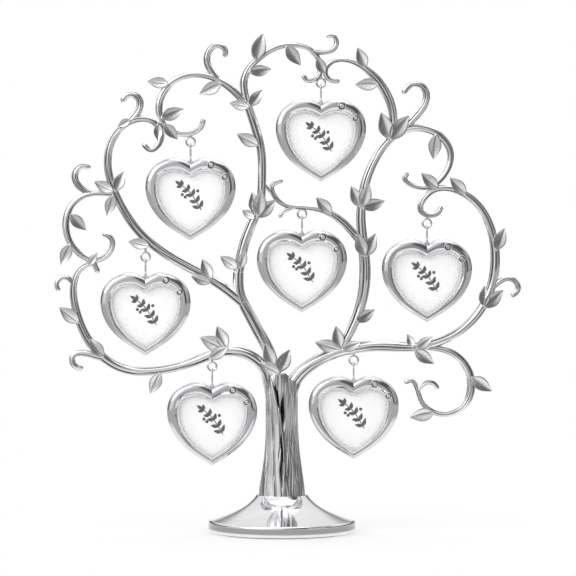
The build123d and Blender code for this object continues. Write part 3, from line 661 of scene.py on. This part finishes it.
# Trunk plating: set darker than the boughs' plating of the same casting, as painted shade
trunk_metal = plated("trunk_plating", (0.84, 0.845, 0.855), (0.7, 0.705, 0.715), 0.1, 0.2, True)
# Heart frame plating: set darker than the tree's, as painted shade for the frames' dimmer reflections
frame_metal = plated("frame_plating", (0.79, 0.793, 0.81), (0.71, 0.714, 0.737), 0.04, 0.1, False)
wire_metal = plated("wire_plating", (0.82, 0.825, 0.835), (0.68, 0.685, 0.7), 0.12, 0.22, False)
screw_metal = plated("screw_steel", (0.62, 0.62, 0.63), (0.48, 0.48, 0.49), 0.25, 0.4, False)

# Foot: plating with a painted reflection round its rim, a grey band between these heights in metres
rim_reflection_band = ((1.7 * MM, 0.0), (2.2 * MM, 1.0), (4.4 * MM, 1.0), (4.8 * MM, 0.0))
reflection_band_top = 10 * MM
rim_reflection_colour = (0.34, 0.345, 0.36)
foot_metal = plated("foot_plating", (0.9, 0.9, 0.912), (0.84, 0.842, 0.855), 0.05, 0.1, False)
foot_tree = foot_metal.node_tree
foot_colour = foot_tree.nodes["Principled BSDF"].inputs["Base Color"]
# Painted reflection: a dark grey band round the rim
foot_reflection_band = ramp(foot_tree, object_axes(foot_tree)[1]["Z"], rim_reflection_band, 0.0, reflection_band_top)
foot_tree.links.new(mix(foot_tree, foot_reflection_band, foot_colour.links[0].from_socket, rim_reflection_colour), foot_colour)

paper, paper_tree, paper_main = mottled("insert_paper", 700, (0.93, 0.93, 0.93), (0.96, 0.96, 0.957), 5.0)
paper_tree.links.new(noise_between(paper_tree, 500, 0.5, 0.7), paper_main.inputs["Roughness"])
add_bump(paper_tree, paper_main, noise_between(paper_tree, 900, 0, 1, 5.0), 0.02, 0.0001)

ink, _, ink_main = mottled("insert_ink", 900, (0.006, 0.006, 0.007), (0.022, 0.022, 0.024), 4.0)
ink_main.inputs["Roughness"].default_value = 0.7

clear, clear_tree, clear_main = mottled("clear_window", 60, (0.93, 0.95, 0.96), (0.97, 0.98, 0.985))
clear_main.inputs["Alpha"].default_value = 0.06
clear_main.inputs["IOR"].default_value = 1.49
clear_tree.links.new(noise_between(clear_tree, 300, 0.02, 0.06), clear_main.inputs["Roughness"])

# Cut crystal: each facet painted dark or bright by its attribute, as painted reflections and glints
gem, gem_tree, gem_main = shader("cut_crystal")
gem_main.inputs["Metallic"].default_value = 0.85
gem_main.inputs["Coat Weight"].default_value = 1.0
gem_main.inputs["Roughness"].default_value = 0.01
gem_facet = gem_tree.nodes.new("ShaderNodeAttribute")
gem_facet.attribute_name = "facet_reflection"
gem_reflection = mix(gem_tree, gem_facet.outputs["Fac"], (0.03, 0.03, 0.035), (0.97, 0.975, 0.98))
gem_tree.links.new(gem_reflection, gem_main.inputs["Base Color"])

plastic, plastic_tree, plastic_main = mottled(
    "back_cover_plastic", 200, (0.045, 0.045, 0.048), (0.07, 0.07, 0.074)
)
plastic_tree.links.new(noise_between(plastic_tree, 1200, 0.42, 0.6), plastic_main.inputs["Roughness"])
add_bump(plastic_tree, plastic_main, noise_between(plastic_tree, 2600, 0, 1), 0.35, 0.0002)

rubber, rubber_tree, rubber_main = mottled("pad_rubber", 350, (0.03, 0.03, 0.032), (0.055, 0.055, 0.058))
rubber_main.inputs["Roughness"].default_value = 0.85
add_bump(rubber_tree, rubber_main, noise_between(rubber_tree, 1500, 0, 1, 6.0), 0.6, 0.0004)


def dress(node, material):
    """Gives a CAD node its finish."""
    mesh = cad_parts[node].data
    mesh.materials.clear()
    mesh.materials.append(material)


# Tree: grooved boughs with veined leaves, and the bark of the trunk. The fork's leaves also clear the left limb.
fork_stems = boughs["left_limb"]["stems"]
for seed, (node, bough) in enumerate(boughs.items()):
    surfaces = []
    for turn, (points, radii, blunt) in enumerate(bough["stems"]):
        surfaces.append((0, stem(points, radii, blunt, seed + 0.7 * turn)))
    for place in bough["leaves"]:
        surfaces.append((1, leaf(front_at(bough["stems"] + fork_stems, place[0]), *place)))
    make_piece(node + "_cast", surfaces, [bough_metal, leaf_metal], "tree", node)
make_piece("trunk_bark", [(0, trunk_surface())], [trunk_metal], "tree", "trunk")
dress("base_foot", foot_metal)
dress("base_pad", rubber)
dress("base_screw", screw_metal)
dress("hanging_rings", wire_metal)


def pointed(middle, heading, length, width):
    """A flat pointed leaf for the print, as corners (across, up)."""
    ahead = np.array((math.cos(heading), math.sin(heading)))
    aside = np.array((-ahead[1], ahead[0]))
    one_side = [(0.2, 0.75), (0.45, 1.0), (0.75, 0.6)]
    sides = [(0.0, 0.0), *one_side, (1.0, 0.0), *((a, -b) for a, b in reversed(one_side))]
    return [tuple(np.array(middle) + ahead * length * a + aside * width / 2 * b) for a, b in sides]


def sprig():
    """A plain leafy sprig with berries, as flat outlines in millimetres from the heart's notch."""
    stalk, heading, _ = smooth_line([(5.2, -22.5), (2.4, -17.8), (-0.6, -13.6), (-4.6, -10.4)])
    shapes = []
    for a, b, way in zip(stalk[:-1], stalk[1:], heading[:-1]):
        aside = np.array((-way[1], way[0])) * stalk_half_width
        shapes.append([tuple(a - aside), tuple(b - aside), tuple(b + aside), tuple(a + aside)])
    for step, place in enumerate(np.linspace(2, len(stalk) - 2, 5).astype(int)):
        forward = math.atan2(heading[place][1], heading[place][0])
        for side in (-1, 1):
            shapes.append(pointed(stalk[place], forward + side * 0.85, 4.2 - 0.3 * step, 1.9))
    shapes.append(pointed(stalk[-1], math.atan2(heading[-1][1], heading[-1][0]), 3.6, 1.7))
    turns = [k * full_turn / berry_points for k in range(berry_points)]
    for across, up in ((-2.6, -16.2), (-4.0, -15.0), (3.4, -13.2)):
        shapes.append([(across + berry_radius * math.cos(t), up + berry_radius * math.sin(t)) for t in turns])
    return shapes


def print_surface(across, notch, level):
    """The sprig set on an insert, each outline a flat face towards the viewer."""
    points3, faces = [], []
    for outline in sprig():
        faces.append(tuple(range(len(points3), len(points3) + len(outline))))
        points3 += [(across + x, level, notch + z) for x, z in outline]
    return np.array(points3) * MM, faces, np.zeros(len(points3))


def gem_surface(across, level, up, radius):
    """A round cut stone, its table towards the viewer: table, crown, girdle and pavilion."""
    points3, faces, starts = [], [], []
    for count, share, depth, offset in stone_rings:
        starts.append(len(points3))
        for k in range(count):
            angle = full_turn * (k + offset) / count
            aside, above = share * radius * math.cos(angle), share * radius * math.sin(angle)
            points3.append((across + aside, level + depth, up + above))
    culet = len(points3)
    points3.append((across, level + stone_depth, up))
    table, star, girdle, belt, lower = starts
    belt_points = 2 * stone_sectors
    faces.append(tuple(table + k for k in range(stone_sectors)))
    for k in range(stone_sectors):
        after = (k + 1) % stone_sectors
        low, middle, high = 2 * k, 2 * k + 1, (2 * k + 2) % belt_points
        faces += [
            (table + k, star + k, star + after),
            (table + (k - 1) % stone_sectors, star + k, table + k),
            (star + k, girdle + low, girdle + middle),
            (star + k, girdle + middle, star + after),
            (star + after, girdle + middle, girdle + high),
            (belt + low, lower + k, belt + middle),
            (belt + middle, lower + k, lower + after),
            (belt + middle, lower + after, belt + high),
            (lower + k, culet, lower + after),
        ]
    for k in range(belt_points):
        after = (k + 1) % belt_points
        faces.append((girdle + k, belt + k, belt + after, girdle + after))
    return np.array(points3) * MM, faces, np.zeros(len(points3))


def collar_surface(across, level, up, radius, wire):
    """A raised ring of metal round a stone."""
    around = np.linspace(0, full_turn, collar_steps, endpoint=False)[:, None]
    about = np.linspace(0, full_turn, collar_points, endpoint=False)[None, :]
    reach = radius + wire * np.cos(about)
    depth = level + wire * np.sin(about) * np.ones_like(around)
    ring = [across + reach * np.cos(around), depth, up + reach * np.sin(around)]
    points3 = np.stack(ring, axis=-1).reshape(-1, 3)
    faces = grid_faces(collar_steps, collar_points, True)
    last = (collar_steps - 1) * collar_points
    for k in range(collar_points):
        after = (k + 1) % collar_points
        faces.append((last + k, last + after, after, k))
    return points3 * MM, faces, np.zeros(len(points3))


# Hearts: plated frames, inserts with the sprig, cut stones and dark back covers
for name in heart_names:
    node = "heart_" + name
    low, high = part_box(node + "_frame")
    across = (low.x + high.x) / 2 / MM
    notch = low.z / MM + heart_drop
    front = low.y / MM
    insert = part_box(node + "_photo")[0].y / MM
    dress(node + "_frame", frame_metal)
    dress(node + "_window", clear)
    dress(node + "_cover", plastic)
    dress(node + "_link", wire_metal)
    sheet_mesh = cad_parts[node + "_photo"].data.copy()
    for vertex in sheet_mesh.vertices:
        if vertex.co.y / MM < insert + insert_front:
            vertex.co.y += insert_back * MM
    sheet_mesh.materials.clear()
    sheet_mesh.materials.append(paper)
    sheet = bpy.data.objects.new(node + "_insert", sheet_mesh)
    bpy.context.collection.objects.link(sheet)
    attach(sheet, node)
    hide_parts(node + "_photo")
    printed = [(0, print_surface(across, notch, insert + print_back))]
    make_piece(node + "_print", printed, [ink], node)
    stones, collars = [], []
    for x, up, radius in heart_stones:
        stones.append((0, gem_surface(across + x, front, notch + up, radius)))
        collar = collar_surface(across + x, front + collar_back, notch + up, radius + collar_gap, collar_wire)
        collars.append((0, collar))
    stones_piece = make_piece(node + "_stones", stones, [gem], node, node + "_crystals")
    stones_piece.data.polygons.foreach_set("use_smooth", [False] * len(stones_piece.data.polygons))
    # Painted reflections: a dark or bright tone for each facet
    facet_reflection = stones_piece.data.attributes.new("facet_reflection", "FLOAT", "FACE")
    facet_reflection.data.foreach_set("value", len(heart_stones) * facet_reflections)
    make_piece(node + "_collars", collars, [frame_metal], node)

# Floor: white to the camera, plain and pale to the rest, with the object's shadow near the foot
white = (1.0, 1.0, 1.0)
studio_floor = (0.5, 0.5, 0.5)
floor_half = 4
floor_mesh = bpy.data.meshes.new("floor")
floor_corners = [(x * floor_half, y * floor_half, 0) for x, y in ((-1, -1), (1, -1), (1, 1), (-1, 1))]
floor_mesh.from_pydata(floor_corners, [], [(0, 1, 2, 3)])
floor = bpy.data.objects.new("floor", floor_mesh)
bpy.context.collection.objects.link(floor)
floor_paint, floor_tree, floor_main = shader("floor_paint")
floor_main.inputs["Base Color"].default_value = (0.86, 0.86, 0.86, 1)
floor_main.inputs["Roughness"].default_value = 0.6
floor_glow = floor_tree.nodes.new("ShaderNodeEmission")
rays = floor_tree.nodes.new("ShaderNodeLightPath").outputs
floor_place, floor_axes = object_axes(floor_tree)
reach = floor_tree.nodes.new("ShaderNodeVectorMath")
reach.operation = "LENGTH"
floor_tree.links.new(floor_place, reach.inputs[0])

# The white sheet that the metal mirrors: behind y -0.2 to -0.14 m, and within 0.15 to 0.22 m to each side
aside = combine(floor_tree, "ABSOLUTE", floor_axes["X"], 0.0)
sheet_depth = spread(floor_tree, floor_axes["Y"], -0.2, -0.14, 0.0, 1.0)
sheet_width = spread(floor_tree, aside, 0.15, 0.22, 1.0, 0.0)
white_sheet = combine(floor_tree, "MULTIPLY", sheet_depth, sheet_width)
white_sheet = combine(floor_tree, "MAXIMUM", white_sheet, rays["Is Camera Ray"])
floor_tree.links.new(mix(floor_tree, white_sheet, studio_floor, white), floor_glow.inputs["Color"])
shadow_fade = spread(floor_tree, reach.outputs["Value"], 0.03, 0.16, 0.55, 1.0)
seen = combine(floor_tree, "ADD", rays["Is Camera Ray"], rays["Is Glossy Ray"])
seen = combine(floor_tree, "ADD", seen, rays["Is Transmission Ray"])
seen = combine(floor_tree, "MINIMUM", seen, 1.0)
seen = combine(floor_tree, "MULTIPLY", seen, shadow_fade)
blend = floor_tree.nodes.new("ShaderNodeMixShader")
floor_tree.links.new(seen, blend.inputs[0])
floor_tree.links.new(floor_main.outputs["BSDF"], blend.inputs[1])
floor_tree.links.new(floor_glow.outputs["Emission"], blend.inputs[2])
floor_tree.links.new(blend.outputs["Shader"], floor_tree.nodes["Material Output"].inputs["Surface"])
floor_mesh.materials.append(floor_paint)

# World: a white studio backdrop, with a darker room on the camera's side for the metal to show.
# Levels are (direction, grey): across (X) in the room, up (Z) behind, and toward the soft panel overhead.
ambient = (0.95, 0.95, 0.95)
side_levels = (
    (-1.0, 0.5), (-0.75, 0.95), (-0.5, 0.8), (-0.2, 0.75), (0.0, 0.5), (0.12, 0.14), (0.7, 0.09), (1.0, 0.2),
)
overhead_way = (-0.35, -0.08, 0.93)
overhead = ((-1.0, 0.0), (0.6, 0.0), (0.74, 1.0), (1.0, 1.0))
behind_levels = ((-1.0, 0.5), (-0.1, 0.14), (0.25, 0.16), (0.45, 0.85), (1.0, 1.0))
front_or_back = ((-1.0, 0.0), (-0.02, 0.0), (0.14, 1.0), (1.0, 1.0))
backdrop_edge = ((-1.0, 0.0), (0.95, 0.0), (0.985, 1.0), (1.0, 1.0))
world = bpy.data.worlds.new("studio")
bpy.context.scene.world = world
world.use_nodes = True
sky = world.node_tree
glow = sky.nodes["Background"]
way = sky.nodes.new("ShaderNodeTexCoord").outputs["Generated"]
axes = sky.nodes.new("ShaderNodeSeparateXYZ")
sky.links.new(way, axes.inputs[0])
toward = sky.nodes.new("ShaderNodeVectorMath")
toward.operation = "DOT_PRODUCT"
toward.inputs[1].default_value = overhead_way
sky.links.new(way, toward.inputs[0])
panel = ramp(sky, toward.outputs["Value"], overhead)
room = mix(sky, panel, ramp(sky, axes.outputs["X"], side_levels), white)
behind = ramp(sky, axes.outputs["Z"], behind_levels)
around = mix(sky, ramp(sky, axes.outputs["Y"], front_or_back), room, behind)
studio = mix(sky, ramp(sky, axes.outputs["Y"], backdrop_edge), around, white)
sky_rays = sky.nodes.new("ShaderNodeLightPath").outputs
lit = mix(sky, sky_rays["Is Diffuse Ray"], studio, ambient)
clear_view = combine(sky, "MAXIMUM", sky_rays["Is Camera Ray"], sky_rays["Is Transmission Ray"])
sky.links.new(mix(sky, clear_view, lit, white), glow.inputs["Color"])
glow.inputs["Strength"].default_value = 1.0


def soft_light(name, place, target, size, watts):
    """A square soft box aimed at a point."""
    data = bpy.data.lights.new(name, "AREA")
    data.shape = "SQUARE"
    data.size = size
    data.energy = watts
    lamp = bpy.data.objects.new(name, data)
    lamp.location = place
    lamp.rotation_euler = (Vector(target) - Vector(place)).to_track_quat("-Z", "Y").to_euler()
    bpy.context.collection.objects.link(lamp)


crown_middle = (0.0, 0.0, 0.12)
soft_light("key_left", (-0.9, -0.8, 0.9), crown_middle, 1.0, 6.0)
soft_light("fill_right", (1.1, -0.7, 0.5), crown_middle, 0.8, 0.7)
soft_light("top", (0.1, 0.1, 1.3), crown_middle, 1.2, 4.0)

# Camera: level, square on, far enough for the photo's flat view
view_width = 0.2765
view_across, view_height = 0.0029, 0.1169
camera_distance = 1.08
camera_data = bpy.data.cameras.new("camera")
camera_data.sensor_width = 36.0
camera_data.lens = camera_data.sensor_width * camera_distance / view_width
camera = bpy.data.objects.new("camera", camera_data)
camera.location = (view_across, -camera_distance, view_height)
camera.rotation_euler = (math.pi / 2, 0, 0)
bpy.context.collection.objects.link(camera)
bpy.context.scene.camera = camera
bpy.context.scene.view_settings.view_transform = "Standard"

bpy.context.view_layer.update()
